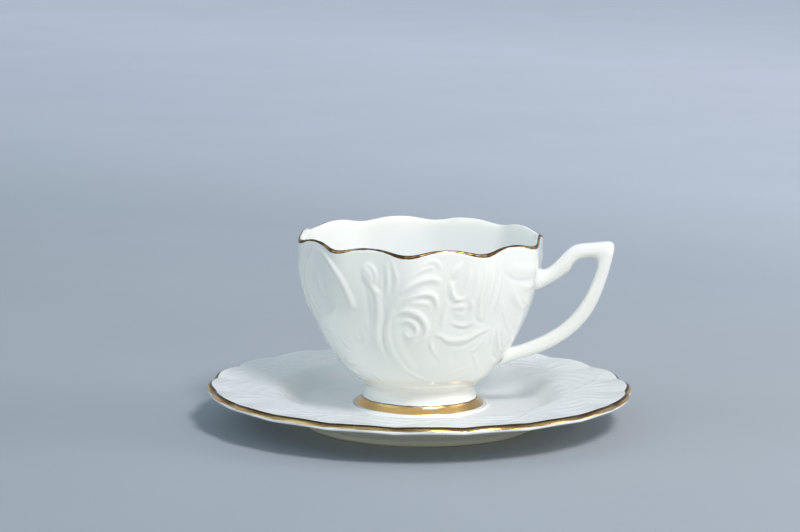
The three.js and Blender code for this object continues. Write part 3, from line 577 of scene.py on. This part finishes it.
def gold(name):
    """Bright fired gold: a brushed film that thins and browns along its edges, with a little wear. The same dark brown
    mix also serves as painted dark reflection, laid where the gold would mirror a dark room.
    """
    m, nt, b = new_material(name)
    p = object_coords(nt)
    comb = nt.nodes.new("ShaderNodeCombineXYZ")
    nt.links.new(math_node(nt, "MULTIPLY", attribute(nt, "run"), 0.35), comb.inputs[0])
    nt.links.new(math_node(nt, "MULTIPLY", attribute(nt, "across"), 5.0), comb.inputs[1])
    strokes = noise(nt, comb.outputs[0], 1.6, 4, 0.6, 0.4)
    patch = noise(nt, p, 170, 3, 0.55)
    colour = ramp(nt, strokes, [(0.28, (0.60, 0.335, 0.11)), (0.5, (0.82, 0.515, 0.21)), (0.75, (0.95, 0.69, 0.37))])
    colour = mix_colour(nt, math_node(nt, "MULTIPLY", patch, 0.45), colour, (0.74, 0.47, 0.17))
    edge = attribute(nt, "edge")
    ragged = math_node(nt, "ADD", edge, math_node(nt, "MULTIPLY", math_node(nt, "SUBTRACT", noise(nt, p, 900, 2, 0.6), 0.5), 0.5))
    painted_dark_and_thin = ramp(nt, ragged, [(0.35, (0, 0, 0)), (0.95, (1, 1, 1))])
    # where this mask is high the gold turns dark brown: partly the film thinning at its borders, partly painted dark
    # reflection of the room
    colour = mix_colour(nt, math_node(nt, "MULTIPLY", painted_dark_and_thin, 0.95), colour, (0.085, 0.038, 0.014))
    wear = ramp(nt, noise(nt, p, 620, 4, 0.7), [(0.70, (0, 0, 0)), (0.78, (1, 1, 1))])
    colour = mix_colour(nt, math_node(nt, "MULTIPLY", wear, 0.35), colour, (0.42, 0.24, 0.09))
    nt.links.new(colour, b.inputs["Base Color"])
    b.inputs["Metallic"].default_value = 1.0
    rough = math_node(nt, "ADD", 0.11, math_node(nt, "MULTIPLY", strokes, 0.14))
    rough = math_node(nt, "ADD", rough, math_node(nt, "MULTIPLY", painted_dark_and_thin, 0.15), clamp=True)
    nt.links.new(rough, b.inputs["Roughness"])
    bump = nt.nodes.new("ShaderNodeBump")
    bump.inputs["Strength"].default_value = 0.35
    bump.inputs["Distance"].default_value = 0.00012
    nt.links.new(math_node(nt, "ADD", strokes, math_node(nt, "MULTIPLY", patch, 0.6)), bump.inputs["Height"])
    nt.links.new(bump.outputs[0], b.inputs["Normal"])
    return m


CHINA = porcelain("china_relief")
CHINA_PLAIN = porcelain("china_plain")
CHINA_SAUCER = porcelain("china_saucer", body=(0.82, 0.84, 0.83), pool=(0.75, 0.80, 0.80), bare=True)
GOLD = gold("fired_gold")

# =============================================================== the bowl
COLS, IN_COLS = 768, 256


def build_bowl():
    out = spline(BOWL_OUT, step=0.05)
    s = np.concatenate([[0], np.cumsum(np.linalg.norm(np.diff(out, axis=0), axis=1))])
    # rows, evenly spaced along the profile
    n = 106
    t = np.linspace(0, 1, n)
    rows = np.stack([np.interp(t * s[-1], s, out[:, k]) for k in (0, 1)], 1)
    r, z = rows[:, 0], rows[:, 1]
    fade = smooth(16.5, 20.5, z) * (1 - smooth(64.6, 66.3, z))
    h, _ = relief_grid(r, z, COLS, CUP_RELIEF, fade)
    phi = np.arange(COLS) / COLS * 2 * math.pi
    off = (phi + math.pi) % (2 * math.pi) - math.pi  # angle from the handle
    # the relief gives way to the luted joints of the handle
    away = np.abs(off[None, :]) * r[:, None]
    upper = 1 - smooth(1.0, 2.6, np.hypot(away / 1.0, np.maximum(0, np.abs(z[:, None] - 53) - 3.2)) - 1.5)
    lower = 1 - smooth(1.0, 2.6, np.hypot(away / 1.0, np.maximum(0, np.abs(z[:, None] - 25.6) - 2.6)) - 1.5)
    h = h * (1 - np.clip(upper + lower, 0, 1))
    dz = (z[-1] - z[0]) / n * 1.2
    h = blur_rows(h, 0.36 / dz, 0.36 / (2 * math.pi * 38 / COLS))
    # normals of the plain profile carry the relief outwards
    tang = np.gradient(rows, axis=0)
    tang /= np.linalg.norm(tang, axis=1)[:, None]
    nr, nz = tang[:, 1], -tang[:, 0]
    skin = Rings()
    # underside inside the foot, from the middle outwards
    small = np.arange(IN_COLS) / IN_COLS * 2 * math.pi
    skin.ring(polar(4.0, small, 14.3), relief=0.0, moulded=0.0)
    skin.cap((0, 0, 14.3), first=True)
    skin.ring(polar(12.0, small, 14.3), relief=0.0, moulded=0.0)
    skin.ring(polar(17.8, small, 14.3), relief=0.0, moulded=0.0)
    for i in range(n):
        rr, zz = cup_shape(r[i] + nr[i] * h[i], phi, z[i] + nz[i] * h[i])
        skin.ring(polar(rr, phi, zz), relief=h[i], moulded=np.full(COLS, fade[i]))
    # the rounded lip
    lip = []
    for a in np.radians([25, 50, 72, 90, 108, 132, 158]):
        c = LIP_R - LIP_T / 2
        lip.append((c + math.cos(a) * LIP_T / 2, 66.9 + math.sin(a) * 0.85))
    for rr0, zz0 in lip:
        rr, zz = cup_shape(rr0, phi, zz0)
        skin.ring(polar(rr, phi, zz), relief=0.1, moulded=0.0)
    inner = spline(BOWL_IN, n=46)
    for k, (rr0, zz0) in enumerate(inner):
        rr, zz = cup_shape(rr0, small, zz0)
        skin.ring(polar(rr, small, zz), relief=0.1, moulded=0.0)
    skin.cap((0, 0, 17.15))
    return skin.object("bowl_moulded", CHINA, "cup", ["cup_bowl"])


# =============================================================== the lip's gilding
def lip_section(lift):
    """The lip's outline from low on the outside over to the inside, pushed out by lift. Returns [r, z] and the distance along."""
    c = LIP_R - LIP_T / 2
    side = [(LIP_R + lift, z) for z in np.linspace(64.6, 66.85, 24)]
    over = [(c + math.cos(a) * (LIP_T / 2 + lift), 66.9 + math.sin(a) * (0.85 + lift)) for a in np.radians(np.linspace(2, 120, 24))]
    p = np.array(side + over)
    s = np.concatenate([[0], np.cumsum(np.linalg.norm(np.diff(p, axis=0), axis=1))])
    return p, s


def build_lip_gilding():
    cols = 720
    phi = np.arange(cols) / cols * 2 * math.pi
    p, s = lip_section(0.0)
    q, sq = lip_section(1.0)
    s_top = s[24 + 17]  # just past the crown of the lip
    wave = cup_wave(phi)
    # brushed on by hand: deeper in the dips, thinner on the crests
    hand = 0.10 * np.sin(7 * phi + 0.6) + 0.07 * np.sin(23 * phi + 2.1) + 0.05 * np.sin(41 * phi + 0.3)
    hand += 0.04 * np.sin(97 * phi + 1.0)
    drop = 0.72 - 0.36 * wave + hand * 0.6
    inner = 0.10 * np.sin(5 * phi + 1.0) + 0.06 * np.sin(31 * phi)
    s_lo, s_hi = s_top - 0.55 - drop, s_top + inner
    rows = 12
    front, attrs = [], []
    for k in range(rows):
        t = k / (rows - 1)
        ss = s_lo * (1 - t) + s_hi * t
        lift = 0.055 * math.sin(math.pi * min(1, max(0, t))) ** 0.35 - 0.012
        base = np.stack([np.interp(ss, s, p[:, j]) for j in (0, 1)], 1)
        out = np.stack([np.interp(ss * 1.0, s, q[:, j]) for j in (0, 1)], 1) - base
        out /= np.linalg.norm(out, axis=1)[:, None]
        front.append((base + out * lift, t, ss))
    skin = Rings()
    for b, t, ss in front:
        rr, zz = cup_shape(b[:, 0], phi, b[:, 1])
        # most of the band is darkened toward brown, more toward both borders and unevenly round the ring: painted dark
        # reflection of the room, on top of the film thinning at its borders
        skin.ring(polar(rr, phi, zz), run=phi * LIP_R, across=ss, edge=0.80 + 0.42 * hand / 0.22 + 0.3 * abs(2 * t - 1) ** 2)
    for k in reversed(range(1, rows - 1)):
        t = k / (rows - 1)
        ss = s_lo * (1 - t) + s_hi * t
        base = np.stack([np.interp(ss, s, p[:, j]) for j in (0, 1)], 1)
        out = np.stack([np.interp(ss, s, q[:, j]) for j in (0, 1)], 1) - base
        out /= np.linalg.norm(out, axis=1)[:, None]
        b = base - out * 0.05
        rr, zz = cup_shape(b[:, 0], phi, b[:, 1])
        skin.ring(polar(rr, phi, zz), run=phi * LIP_R, across=ss, edge=0.80 + 0.42 * hand / 0.22 + 0.3 * abs(2 * t - 1) ** 2)
    skin.loop()
    return skin.object("lip_gilding_film", GOLD, "cup", ["cup_lip_gilding"])


# =============================================================== the foot
FOOT_OUT = [(20.7, 6.8), (22.4, 6.8), (22.95, 6.95), (23.12, 7.2), (22.95, 7.45), (21.05, 8.95), (20.75, 9.3), (20.2, 10.3), (19.75, 11.6), (19.45, 12.8), (19.5, 13.8), (19.95, 14.7), (20.75, 15.45), (21.5, 16.15)]
FOOT_IN = [(21.2, 16.6), (18.4, 14.7), (15.7, 14.35), (15.8, 12.4), (16.6, 10.6), (18.2, 8.9), (19.8, 7.6), (20.3, 6.95)]


def build_foot():
    cols = 360
    phi = np.arange(cols) / cols * 2 * math.pi
    prof = np.vstack([spline(FOOT_OUT, n=54), spline(FOOT_IN, n=26)])
    skin = Rings()
    for r, z in prof:
        bare = 1.0 - smooth(6.8, 6.95, z) if r < 22.9 else 0.0
        skin.ring(polar(r, phi, z), relief=0.05, moulded=0.0, bare=bare)
    skin.loop()
    return skin.object("foot_turned", CHINA_PLAIN, "cup", ["cup_foot"])


def build_foot_gilding():
    cols, rows = 360, 12
    phi = np.arange(cols) / cols * 2 * math.pi
    path = spline([(23.12, 7.2), (22.95, 7.45), (21.05, 8.95), (20.75, 9.3), (20.2, 10.3)], n=50)
    s = np.concatenate([[0], np.cumsum(np.linalg.norm(np.diff(path, axis=0), axis=1))])
    tang = np.gradient(path, axis=0)
    tang /= np.linalg.norm(tang, axis=1)[:, None]
    normal = np.stack([tang[:, 1], -tang[:, 0]], 1)
    hand = 0.06 * np.sin(6 * phi + 0.4) + 0.05 * np.sin(19 * phi + 1.1) + 0.03 * np.sin(53 * phi)
    lo, hi = 0.12 + 0.03 * np.sin(9 * phi), s[-1] - 0.28 + hand
    skin = Rings()

    def ring(t, lift):
        ss = lo * (1 - t) + hi * t
        b = np.stack([np.interp(ss, s, (path + normal * lift)[:, j]) for j in (0, 1)], 1)
        # brown at both borders of the band, the upper border most: partly the film thinning, partly painted dark
        # reflection
        skin.ring(polar(b[:, 0], phi, b[:, 1]), run=phi * 22, across=ss, edge=abs(2 * t - 1) ** 3 * (1.0 if t > 0.5 else 0.3) + 0 * phi)

    for k in range(rows):
        t = k / (rows - 1)
        ring(t, 0.06 * math.sin(math.pi * t) ** 0.35 - 0.012)
    for k in reversed(range(1, rows - 1)):
        ring(k / (rows - 1), -0.05)
    skin.loop()
    return skin.object("foot_gilding_film", GOLD, "cup", ["cup_foot_gilding"])


# =============================================================== the handle
# The loop's outer and inner edges, paired station by station: distance from the
# axis, height.
HANDLE_PAIRS = [
    ((41.6, 56.95), (40.9, 49.0)),
    ((42.5, 56.75), (41.9, 49.35)),
    ((43.5, 56.55), (43.2, 50.0)),
    ((44.9, 57.05), (45.2, 51.1)),
    ((46.8, 58.45), (47.3, 52.4)),
    ((49.1, 60.85), (49.3, 53.65)),
    ((50.9, 62.9), (51.1, 54.95)),
    ((52.6, 64.5), (52.7, 56.3)),
    ((54.4, 65.55), (53.6, 57.9)),
    ((56.6, 66.1), (54.9, 59.65)),
    ((59.6, 66.45), (57.0, 60.75)),
    ((62.6, 66.8), (59.2, 61.15)),
    ((65.0, 67.05), (60.8, 61.25)),
    ((66.7, 67.05), (61.7, 60.85)),
    ((67.7, 66.55), (62.2, 60.2)),
    ((68.15, 65.5), (62.4, 59.3)),
    ((68.15, 63.7), (62.3, 57.8)),
    ((67.55, 60.5), (61.6, 55.6)),
    ((66.6, 56.6), (60.5, 52.4)),
    ((65.3, 52.2), (59.0, 48.8)),
    ((63.7, 47.6), (57.0, 45.2)),
    ((61.6, 43.0), (54.7, 41.8)),
    ((59.0, 38.9), (52.0, 38.8)),
    ((55.8, 35.4), (49.3, 36.4)),
    ((52.0, 32.2), (46.3, 34.4)),
    ((47.7, 29.35), (43.2, 32.6)),
    ((43.0, 26.95), (40.1, 31.15)),
    ((38.4, 25.2), (37.1, 29.85)),
    ((34.6, 24.0), (34.6, 28.95)),
    ((31.6, 22.9), (33.0, 28.55)),
    ((29.6, 21.9), (32.0, 28.6)),
    ((28.2, 20.9), (31.3, 28.9)),
]


def build_handle():
    pairs = np.array([[*a, *b] for a, b in HANDLE_PAIRS], float)
    p = spline(pairs, n=1200)
    dense = np.minimum(np.arange(1200), np.arange(1200)[::-1])
    p = p[(dense < 90) | (dense % 4 == 1)]  # closer stations at the joints
    outer, inner = p[:, :2], p[:, 2:]
    mid, half = (outer + inner) / 2, (outer - inner) / 2
    a = np.linalg.norm(half, axis=1)
    d = half / a[:, None]
    s = np.concatenate([[0], np.cumsum(np.linalg.norm(np.diff(mid, axis=0), axis=1))])
    end = np.minimum(s, s[-1] - s)
    # how far it stands off the bowl at each station, for the flare of the joints
    gap = mid[:, 0] - bowl_radius(0.0, mid[:, 1])
    deep = 2.7 + 0.25 * smooth(8, 26, end)
    flare = np.exp(-np.maximum(gap, -0.7) / 1.35)
    cols = 88
    al = -np.arange(cols) / cols * 2 * math.pi
    # a soft-cornered section with a slightly flattened inner face
    e = 2.45
    ca, sa = np.cos(al), np.sin(al)
    k = (np.abs(ca) ** e + np.abs(sa) ** e) ** (-1 / e)
    ux, uy = ca * k, sa * k
    ux = np.where(ux < 0, -np.abs(ux) ** 1.12, ux)
    skin = Rings()
    for i in range(len(p)):
        b = deep[i] + 2.5 * flare[i]
        x = mid[i, 0] + d[i, 0] * a[i] * ux
        z = mid[i, 1] + d[i, 1] * a[i] * ux
        y = b * uy * (1 - 0.06 * ux)
        # nothing of it comes through to the inside of the cup
        keep = np.hypot(np.maximum(x, 0), y)
        floor_r = bowl_radius(np.arctan2(y, x), z) - 0.75
        x = np.where(keep < floor_r, np.sqrt(np.maximum(floor_r**2 - y**2, 1)), x)
        ring = np.stack([x, y, z], 1)
        skin.ring(ring, relief=0.05, moulded=0.0)
    first, last = skin.v[0].mean(0), skin.v[-1].mean(0)
    skin.cap(first, first=True)
    skin.cap(last)
    ob = skin.object("handle_loop", CHINA_PLAIN, "cup", ["cup_handle"])
    return ob


# =============================================================== the saucer
WELL_Z, LIP_S = 6.75, 14.1
SAUCER_TOP = [(22.6, 6.75), (23.3, 6.86), (23.7, 7.3), (24.15, 7.52), (24.6, 7.3), (25.0, 6.88), (25.8, 6.76), (30, 6.74), (36, 6.76), (40.5, 6.86), (43.0, 7.35), (45.0, 8.5), (47.0, 10.0), (49.2, 11.5), (51.2, 12.35), (53.5, 12.72), (58, 12.95), (64, 13.25), (69, 13.6), (72.2, 13.95), (73.1, 14.07)]
SAUCER_LIP = [(73.55, 14.03), (74.0, 13.82), (74.5, 13.42), (74.95, 12.92), (75.17, 12.5), (75.14, 12.1), (74.8, 11.75)]
SAUCER_UNDER = [(73.5, 11.4), (71.0, 10.6), (67, 9.85), (61, 9.3), (55, 8.8), (51, 7.7), (47.5, 5.7), (44.6, 3.7), (42.7, 2.3), (41.75, 1.2), (41.35, 0.45), (41.0, 0.06), (40.6, 0.0), (39.6, 0.0), (39.1, 0.1), (38.7, 0.6), (38.2, 1.8), (37.6, 2.9), (36.4, 3.45), (34, 3.55), (22, 3.5), (8, 3.45)]


def saucer_shape(r, phi, z):
    w = saucer_wave(phi)
    k = smooth(58, SAUCER_R, r)
    # between the lobes the top of the lip leans back
    lean = smooth(72.8, 73.8, r) * smooth(12.4, 13.9, z) * (0.36 - w) * 0.30
    return r + SAUCER_LOBE_R * w * k - lean, z + SAUCER_LOBE_Z * w * k


def build_saucer():
    small = np.arange(200) / 200 * 2 * math.pi
    big_n = 800
    big = np.arange(big_n) / big_n * 2 * math.pi
    top = spline(SAUCER_TOP, step=0.02)
    s = np.concatenate([[0], np.cumsum(np.linalg.norm(np.diff(top, axis=0), axis=1))])

    def at(r):
        return np.interp(r, top[:, 0], top[:, 1])

    skin = Rings()
    # underside first, from the middle out, so that the faces look outwards
    under = spline(SAUCER_UNDER[::-1], n=62)
    under[:, 1] = np.maximum(under[:, 1], 0)
    skin.ring(polar(4.0, small, 3.45), relief=0.05, moulded=0.0, bare=0.0)
    skin.cap((0, 0, 3.45), first=True)
    for r, z in under:
        rr, zz = saucer_shape(r, small, z)
        bare = float((1 - smooth(0.05, 0.22, z)) if 38.8 < r < 41.3 else 0)
        skin.ring(polar(rr, small, zz), relief=0.05, moulded=0.0, bare=bare)
    lip = spline(SAUCER_LIP[::-1], n=17)
    for r, z in lip:
        rr, zz = saucer_shape(r, big, z)
        skin.ring(polar(rr, big, zz), relief=0.05, moulded=0.0, bare=0.0)
    # the flange with its leaf sprays
    rows_r = np.linspace(73.1, 46.2, 75)[::-1]
    strokes = []
    for sector in range(5):
        for style, pts, w, a in SPRAY:
            jitter = 1 + 0.12 * math.sin(2.7 * sector + len(strokes))
            strokes.append((style, [(t + 18 + 36 * sector, r) for t, r in pts], w, tuple(x * jitter for x in a)))
    ridge = np.zeros((len(rows_r), big_n))
    cut = np.zeros((len(rows_r), big_n))
    for style, pts, w, a in strokes:
        p = spline([(math.radians(t) * 62, r) for t, r in pts], step=0.35)
        p[:, 0] /= 62
        for side in (1, -1):
            stamp(cut if style == "groove" else ridge, rows_r, rows_r, big, p * np.array([side, 1]), three(w), three(a), style)
    fade = smooth(50.4, 51.6, rows_r) * (1 - smooth(70.8, 72.6, rows_r))
    h = (ridge + cut) * fade[:, None] * 0.36
    step = rows_r[1] - rows_r[0]
    h = blur_rows(h, 0.48 / step, 0.48 / (2 * math.pi * 64 / big_n))
    # the flange breaks into the verge along a row of small scallops
    def scallop(angle, radius):
        d = (0.62 - np.sqrt(np.sin(20 * angle) ** 2 + 0.03)) * 0.55
        return d * float(smooth(48.0, 50.5, radius) * (1 - smooth(52.5, 55.0, radius)))

    for i in reversed(range(len(rows_r))):
        rr, zz = saucer_shape(rows_r[i], big, at(rows_r[i] - scallop(big, rows_r[i])))
        skin.ring(polar(rr, big, zz + h[i]), relief=h[i], moulded=np.full(big_n, fade[i]), bare=0.0)
    # the verge, well and bead, from outside in
    inner_r = np.concatenate([np.linspace(45.8, 40.0, 14), np.linspace(39.0, 27.0, 12), np.linspace(26.2, 22.6, 26), [18.0, 12.0, 6.0]])
    for r in inner_r:
        skin.ring(polar(r, small, at(np.maximum(r - scallop(small, r), 22.6))), relief=0.05, moulded=0.0, bare=0.0)
    skin.cap((0, 0, 6.75))
    return skin.object("saucer_moulded", CHINA_SAUCER, "saucer", ["saucer_dish"])


def build_saucer_gilding():
    cols, rows = 800, 20
    phi = np.arange(cols) / cols * 2 * math.pi
    path = spline([(73.5, 11.4), *SAUCER_LIP[::-1], (73.1, 14.07), (72.2, 13.95)], n=200)
    s = np.concatenate([[0], np.cumsum(np.linalg.norm(np.diff(path, axis=0), axis=1))])
    tang = np.gradient(path, axis=0)
    tang /= np.linalg.norm(tang, axis=1)[:, None]
    normal = np.stack([tang[:, 1], -tang[:, 0]], 1)
    start = s[np.argmin(np.hypot(path[:, 0] - 75.13, path[:, 1] - 12.62))]
    stop = s[np.argmin(np.hypot(path[:, 0] - 73.5, path[:, 1] - 14.03))]
    hand = 0.08 * np.sin(7 * phi + 0.2) + 0.06 * np.sin(27 * phi + 1.4) + 0.05 * np.sin(61 * phi + 2.2)
    lo = start + hand * 0.8 - 0.22 * saucer_wave(phi)
    hi = stop + 0.05 * np.sin(11 * phi) + 0.05 * np.sin(37 * phi + 0.8)
    skin = Rings()

    def ring(t, lift):
        ss = lo * (1 - t) + hi * t
        q = path + normal * lift
        b = np.stack([np.interp(ss, s, q[:, j]) for j in (0, 1)], 1)
        rr, zz = saucer_shape(b[:, 0], phi, b[:, 1])
        # within each lobe a lens of the band is left bright gold and the gold beside it is darkened brown: painted
        # reflection, bright where the lip would mirror the lit table and dark where it would mirror the dark room
        lobe = (np.degrees(phi) + 4.0 * np.sin(5 * phi + 0.7)) % 18 / 18
        lobe_bright_reflection = np.exp(-(((lobe - 0.42) / 0.26) ** 2)) * (0.75 + 0.25 * np.sin(3 * phi + 1.9))
        # the upper half of the band is darkened brown: painted dark reflection of the room
        top = smooth(0.40, 0.60, t) * 1.05
        body = (1 - lobe_bright_reflection) * 0.82 * smooth(0.05, 0.3, t)
        low = 1 - smooth(0.0, 0.10, t)
        skin.ring(polar(rr, phi, zz), run=phi * SAUCER_R, across=ss, edge=np.maximum(np.maximum(top, body), low))

    for k in range(rows):
        t = k / (rows - 1)
        ring(t, 0.06 * math.sin(math.pi * t) ** 0.35 - 0.012)
    for k in reversed(range(1, rows - 1)):
        ring(k / (rows - 1), -0.05)
    skin.loop()
    return skin.object("saucer_gilding_film", GOLD, "saucer", ["saucer_edge_gilding"])


# =============================================================== stage
def floor_with_painted_light():
    """Matt floor, paler and bluer away from the viewer and to the right: painted light, a brightness gradient laid into
    the floor's colour in place of the fall of light across it.
    """
    m, nt, b = new_material("floor_with_painted_light")
    p = object_coords(nt)
    sep = nt.nodes.new("ShaderNodeSeparateXYZ")
    nt.links.new(p, sep.inputs[0])
    away = math_node(nt, "ADD", math_node(nt, "MULTIPLY", sep.outputs[1], 1.0), math_node(nt, "MULTIPLY", sep.outputs[0], 0.5))
    # near and far ramps make the floor brighter and bluer with distance and to the right: painted light
    near = ramp(nt, math_node(nt, "ADD", away, 0.3), [(0.0, (0.315, 0.35, 0.375)), (0.45, (0.40, 0.43, 0.46)), (1.0, (0.52, 0.56, 0.62))])
    far = ramp(nt, math_node(nt, "MULTIPLY", away, 0.4), [(0.16, (0, 0, 0)), (0.56, (1, 1, 1))])
    painted_light_tone = mix_colour(nt, far, near, (0.89, 0.88, 0.98))
    cloud = ramp(nt, noise(nt, p, 9, 4, 0.6), [(0.3, (0.98, 0.98, 0.98)), (0.7, (1.02, 1.02, 1.02))])
    nt.links.new(mix_colour(nt, 1.0, painted_light_tone, cloud, "MULTIPLY"), b.inputs["Base Color"])
    b.inputs["Roughness"].default_value = 0.75
    b.inputs["Specular IOR Level"].default_value = 0.2
    return m


def build_stage():
    corners = [turned_vec((x, y, 0)) for x, y in ((-4, -3), (4, -3), (4, 5), (-4, 5))]
    mesh = bpy.data.meshes.new("floor")
    mesh.from_pydata([(c[0], c[1], -0.00001) for c in corners], [], [(0, 1, 2, 3)])
    mesh.materials.append(floor_with_painted_light())
    ob = bpy.data.objects.new("floor", mesh)
    bpy.context.scene.collection.objects.link(ob)


LAMPS = {
    # name: (from, aim, size, watts, colour); x to the viewer's right, y away from the viewer
    "key": ((0.62, -1.05, 1.30), (0, 0, 0.03), 0.42, 21.3, (1.0, 0.955, 0.99)),
    "side": ((1.7, -0.1, 0.75), (0, 0, 0.04), 0.8, 7.2, (1.0, 0.94, 0.91)),
    "left": ((-1.7, -0.5, 1.0), (0, 0, 0.04), 1.9, 8.0, (0.52, 0.72, 1.0)),
}
SKY = {
    # radiance by direction: a pale band low down behind the viewer, a dimmer room all round
    "band": (1.95, 1.79, 1.16),
    "room": (0.36, 0.45, 0.51),
    "rear": (0.45, 0.49, 0.52),
}


def area(name, at, to, size, power, colour):
    lamp = bpy.data.lights.new(name, "AREA")
    lamp.energy = power
    lamp.color = colour
    lamp.shape = "DISK"
    lamp.size = size
    ob = bpy.data.objects.new(name, lamp)
    bpy.context.scene.collection.objects.link(ob)
    ob.location = turned_vec(at)
    d = turned_vec(to) - turned_vec(at)
    ob.rotation_mode = "QUATERNION"
    ob.rotation_quaternion = d.to_track_quat("-Z", "Y")
    return ob


def build_light():
    for name, (at, to, size, watts, colour) in LAMPS.items():
        if watts > 0:
            area(name, at, to, size, watts, colour)
    world = bpy.data.worlds.new("studio")
    bpy.context.scene.world = world
    world.use_nodes = True
    nt = world.node_tree
    nt.nodes.clear()
    out = nt.nodes.new("ShaderNodeOutputWorld")
    bg = nt.nodes.new("ShaderNodeBackground")
    nt.links.new(bg.outputs[0], out.inputs[0])
    co = nt.nodes.new("ShaderNodeTexCoord")
    sep = nt.nodes.new("ShaderNodeSeparateXYZ")
    nt.links.new(co.outputs["Generated"], sep.inputs[0])
    up = math_node(nt, "ADD", math_node(nt, "MULTIPLY", sep.outputs[2], 0.5), 0.5)
    back = math_node(nt, "ADD", math_node(nt, "MULTIPLY", sep.outputs[1], 0.5), 0.5)
    low = ramp(nt, up, [(0.49, (0, 0, 0)), (0.502, (1, 1, 1)), (0.555, (1, 1, 1)), (0.59, (0, 0, 0))])
    behind = math_node(nt, "MULTIPLY", ramp(nt, back, [(0.48, (0, 0, 0)), (0.60, (1, 1, 1))]), ramp(nt, up, [(0.70, (1, 1, 1)), (0.80, (0, 0, 0))]))
    c = mix_colour(nt, low, SKY["room"], SKY["band"])
    c = mix_colour(nt, behind, c, SKY["rear"])
    nt.links.new(c, bg.inputs[0])
    bg.inputs[1].default_value = 1.0


build_bowl()
build_lip_gilding()
build_foot()
build_foot_gilding()
build_handle()
build_saucer()
build_saucer_gilding()
build_stage()
build_light()
bpy.context.scene.view_settings.view_transform = "Standard"
bpy.context.scene.view_settings.look = "None"
